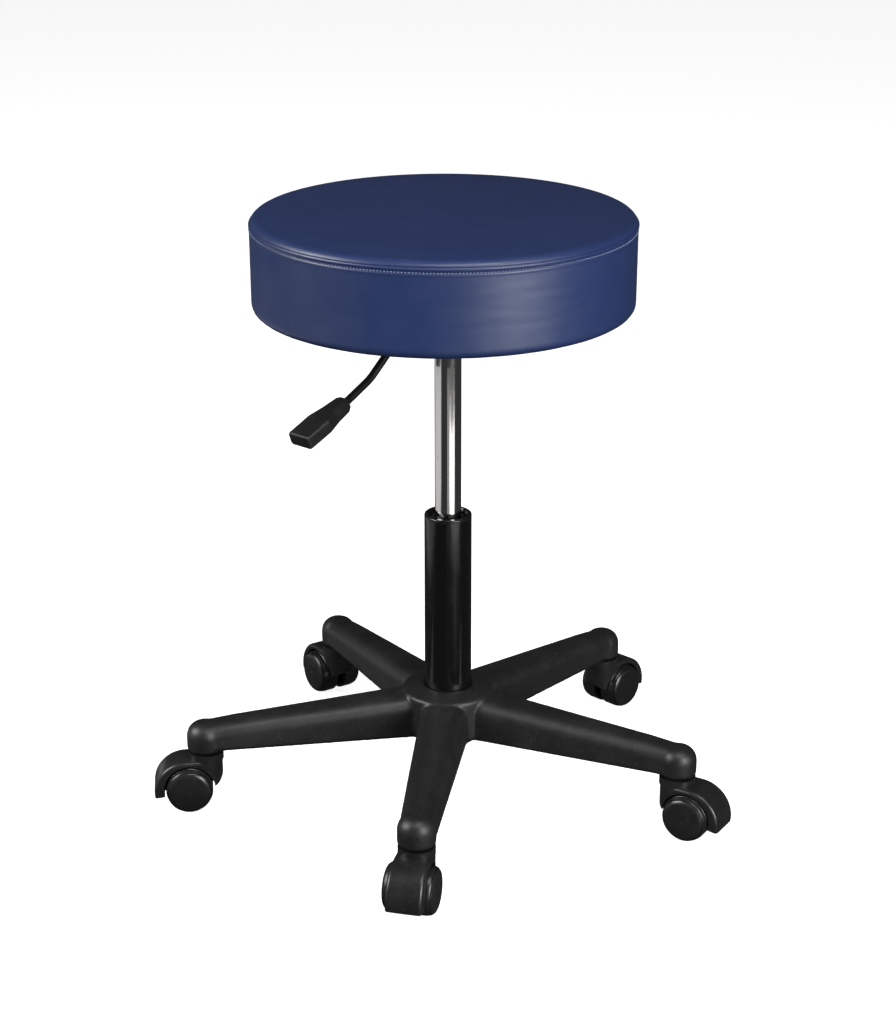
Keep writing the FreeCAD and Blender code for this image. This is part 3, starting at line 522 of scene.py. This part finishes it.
def capsule(length, radius, sides, rings):
    """A short rounded thread along X, centred on the origin."""
    verts = []
    for along in np.linspace(-1, 1, rings):
        bulge = radius * math.sqrt(max(0.0, 1 - abs(along) ** 3))
        sink = -0.55 * radius * along ** 2
        for side in range(sides):
            angle = 2 * math.pi * side / sides
            verts.append((along * length / 2, bulge * math.cos(angle), bulge * math.sin(angle) + sink))
    faces = []
    for ring in range(rings - 1):
        for side in range(sides):
            nxt = (side + 1) % sides
            faces.append((ring * sides + side, ring * sides + nxt,
                          (ring + 1) * sides + nxt, (ring + 1) * sides + side))
    return np.array(verts), faces


def around_rim(name, line, angles, count, phase, shape, lift, drop, tilt, material):
    """Copies of a small shape set along the stitch line."""
    base, base_faces = shape
    closed = np.vstack([line, line[:1]])
    full = np.append(angles, 2 * math.pi)
    verts = []
    faces = []
    for index in range(count):
        angle = (index + phase) / count * 2 * math.pi
        place = np.array([np.interp(angle, full, closed[:, axis]) for axis in range(3)])
        out = np.array([math.cos(angle), math.sin(angle), 0])
        along = np.array([-math.sin(angle), math.cos(angle), 0])
        up = np.array([0, 0, 1.0])
        lean = tilt + 0.05 * math.sin(index * 2.39)
        run = along * math.cos(lean) + up * math.sin(lean)
        cross = up * math.cos(lean) - along * math.sin(lean)
        start = len(verts)
        moved = base[:, :1] * run + base[:, 1:2] * cross + base[:, 2:3] * out
        verts += (moved + place + out * lift - up * drop).tolist()
        faces += [tuple(start + corner for corner in face) for face in base_faces]
    obj = mesh_object(name, verts, faces)
    finish_with(obj, material)
    return obj


cover, stitch_line, stitch_angles = cushion()
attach(cover, "seat")
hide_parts("seat_foam", "seat_top_panel", "seat_side_band")

threads = around_rim("seat_top_stitch", stitch_line, stitch_angles, STITCHES, 0.0,
                     capsule(2.0 * MM, 0.55 * MM, 6, 7), 0.45 * MM, 0, 0.16, thread())
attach(threads, "seat")
# Painted shade: dark capsules set between the threads, where the needle holes would lie in shadow.
hole_shade_patches = around_rim("seat_stitch_hole_shade", stitch_line, stitch_angles, STITCHES, 0.5,
                   capsule(1.7 * MM, 0.75 * MM, 6, 5), 0.1 * MM, 0, 0.16, needle_hole_painted_shade())
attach(hole_shade_patches, "seat")


# ---- dust cover under the seat ------------------------------------------------------------------

LEVER_AZIMUTH = 228.6         # the plate, and the opening round it, are turned with the lever


def dust_cover():
    low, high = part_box("dust_cover")
    cover_r = (high[0] - low[0]) / 2
    lever_angle = math.radians(LEVER_AZIMUTH)
    window = 77 * MM
    around = 288
    rings = 26
    verts = []
    for ring in range(rings):
        share = ring / (rings - 1)
        for step in range(around):
            angle = 2 * math.pi * step / around
            turned = angle - lever_angle
            square = window / max(abs(math.cos(turned)), abs(math.sin(turned)))
            inner = min(square, window * 1.32)
            radius = inner + (cover_r - inner) * share
            sag = math.sin(math.pi * share) ** 2 * 0.9 * MM
            staple = max(0.0, math.cos(24 * (angle - math.radians(7.5)))) ** 6
            pulled = math.exp(-((radius - 168 * MM) / (9 * MM)) ** 2)
            ripple = 0.35 * MM * (1 - staple) * pulled + 0.2 * MM * math.sin(9 * angle + 14 * share) * share
            z = (low[2] + high[2]) / 2 - sag * 0.6 - ripple
            verts.append((radius * math.cos(angle), radius * math.sin(angle), z))
    faces = []
    for ring in range(rings - 1):
        for step in range(around):
            nxt = (step + 1) % around
            faces.append((ring * around + step, (ring + 1) * around + step,
                          (ring + 1) * around + nxt, ring * around + nxt))
    obj = mesh_object("dust_cover_cloth", verts, faces)
    thick = obj.modifiers.new("thickness", "SOLIDIFY")
    thick.thickness = 0.4 * MM
    thick.offset = 0
    apply_modifiers(obj)
    finish_with(obj, FINISHES["dust_fabric"])
    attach(obj, "seat")
    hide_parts("dust_cover")
    return obj


dust_cover()


# ---- moulded base --------------------------------------------------------------------------------

def moulded(node, name, voxel, rounds, factor, swell, slot):
    """The CAD solid with the soft inside corners and edges that moulding gives it."""
    obj = copied(node, name)
    obj.parent = None
    welded(obj)
    remesh = obj.modifiers.new("remesh", "REMESH")
    remesh.mode = "VOXEL"
    remesh.voxel_size = voxel
    remesh.use_smooth_shade = True
    soften = obj.modifiers.new("soften", "SMOOTH")
    soften.factor = factor
    soften.iterations = rounds
    regain = obj.modifiers.new("regain", "DISPLACE")
    regain.strength = swell
    regain.mid_level = 0
    apply_modifiers(obj)
    obj.data.polygons.foreach_set("use_smooth", [True] * len(obj.data.polygons))
    finish_with(obj, FINISHES[slot])
    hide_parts(node)
    return obj


base = moulded("star_base", "moulded_star_base", 1.7 * MM, 6, 0.5, 0.6 * MM, "black_nylon")
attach(base, "base")


# ---- camera, floor and light --------------------------------------------------------------------

camera_data = bpy.data.cameras.new("camera")
camera_data.sensor_width = 36
camera_data.lens = 2322.09 / 1024 * 36
camera = bpy.data.objects.new("camera", camera_data)
camera.location = (0, -2.2848, 1.1672)
camera.rotation_euler = (math.radians(90 - 20.4688), 0, 0)
bpy.context.collection.objects.link(camera)
bpy.context.scene.camera = camera

floor_half = 14.0
floor = mesh_object("floor", [(-floor_half, -floor_half, 0), (floor_half, -floor_half, 0),
                              (floor_half, floor_half, 0), (-floor_half, floor_half, 0)],
                    [(0, 1, 2, 3)], False)
floor_material = bpy.data.materials.new("pale_floor")
floor_material.use_nodes = True
floor_tree = floor_material.node_tree
floor_tree.nodes.remove(floor_tree.nodes["Principled BSDF"])
matte = floor_tree.nodes.new("ShaderNodeBsdfDiffuse")
matte.inputs["Color"].default_value = (0.9, 0.9, 0.9, 1)
glow = floor_tree.nodes.new("ShaderNodeEmission")
glow.inputs["Color"].default_value = (1, 1, 1, 1)
glow.inputs["Strength"].default_value = 0.86
both = floor_tree.nodes.new("ShaderNodeAddShader")
floor_tree.links.new(matte.outputs[0], both.inputs[0])
floor_tree.links.new(glow.outputs[0], both.inputs[1])
floor_tree.links.new(both.outputs[0], floor_tree.nodes["Material Output"].inputs["Surface"])
finish_with(floor, floor_material)
floor.visible_glossy = False
floor.visible_diffuse = False
floor.visible_shadow = False
floor.visible_transmission = False


def studio_world():
    """Dim studio around the stool, and a white sheet behind it as the camera sees it."""
    world = bpy.data.worlds.new("studio")
    bpy.context.scene.world = world
    world.use_nodes = True
    tree = world.node_tree
    tree.nodes.clear()
    lit = tree.nodes.new("ShaderNodeBackground")
    lit.inputs["Color"].default_value = (0.035, 0.035, 0.036, 1)
    white = tree.nodes.new("ShaderNodeBackground")
    white.inputs["Color"].default_value = (1, 1, 1, 1)
    path = tree.nodes.new("ShaderNodeLightPath")
    choose = tree.nodes.new("ShaderNodeMixShader")
    tree.links.new(path.outputs["Is Camera Ray"], choose.inputs["Fac"])
    tree.links.new(lit.outputs[0], choose.inputs[1])
    tree.links.new(white.outputs[0], choose.inputs[2])
    out = tree.nodes.new("ShaderNodeOutputWorld")
    tree.links.new(choose.outputs[0], out.inputs["Surface"])


studio_world()


def softbox(name, place, aim, width, height, watts):
    data = bpy.data.lights.new(name, "AREA")
    data.shape = "RECTANGLE"
    data.size = width
    data.size_y = height
    data.energy = watts
    lamp = bpy.data.objects.new(name, data)
    lamp.location = place
    direction = Vector(aim) - Vector(place)
    lamp.rotation_euler = direction.to_track_quat("-Z", "Y").to_euler()
    bpy.context.collection.objects.link(lamp)
    return lamp


def strip_light(name, azimuth, distance, low, high, width, radiance):
    """Low upright card that faces the column, seen mostly as a streak in its chrome.

    The azimuth is in degrees, to the right of the camera's side.
    """
    angle = math.radians(azimuth)
    x = distance * math.sin(angle)
    y = -distance * math.cos(angle)
    middle = (low + high) / 2
    height = high - low
    softbox(name, (x, y, middle), (0, 0, middle), width, height, radiance * math.pi * width * height)


softbox("overhead", (0.45, -1.15, 2.2), (0, 0, 0.5), 1.3, 0.9, 24)
softbox("key_right", (1.7, -1.95, 0.9), (0, 0, 0.35), 1.25, 1.4, 72)
softbox("fill_left", (-2.5, -0.5, 1.75), (0, 0, 0.35), 1.7, 1.5, 88)
strip_light("streak_left", -100, 1.2, -0.22, 0.12, 2.0, 0.55)
strip_light("streak_right", 35, 1.2, -0.17, 0.015, 1.0, 1.7)
strip_light("streak_middle", 2, 1.2, -0.17, 0.10, 0.35, 0.3)
strip_light("streak_tube", 36, 1.2, -0.36, -0.17, 0.14, 0.3)

bpy.context.scene.view_settings.view_transform = "Standard"
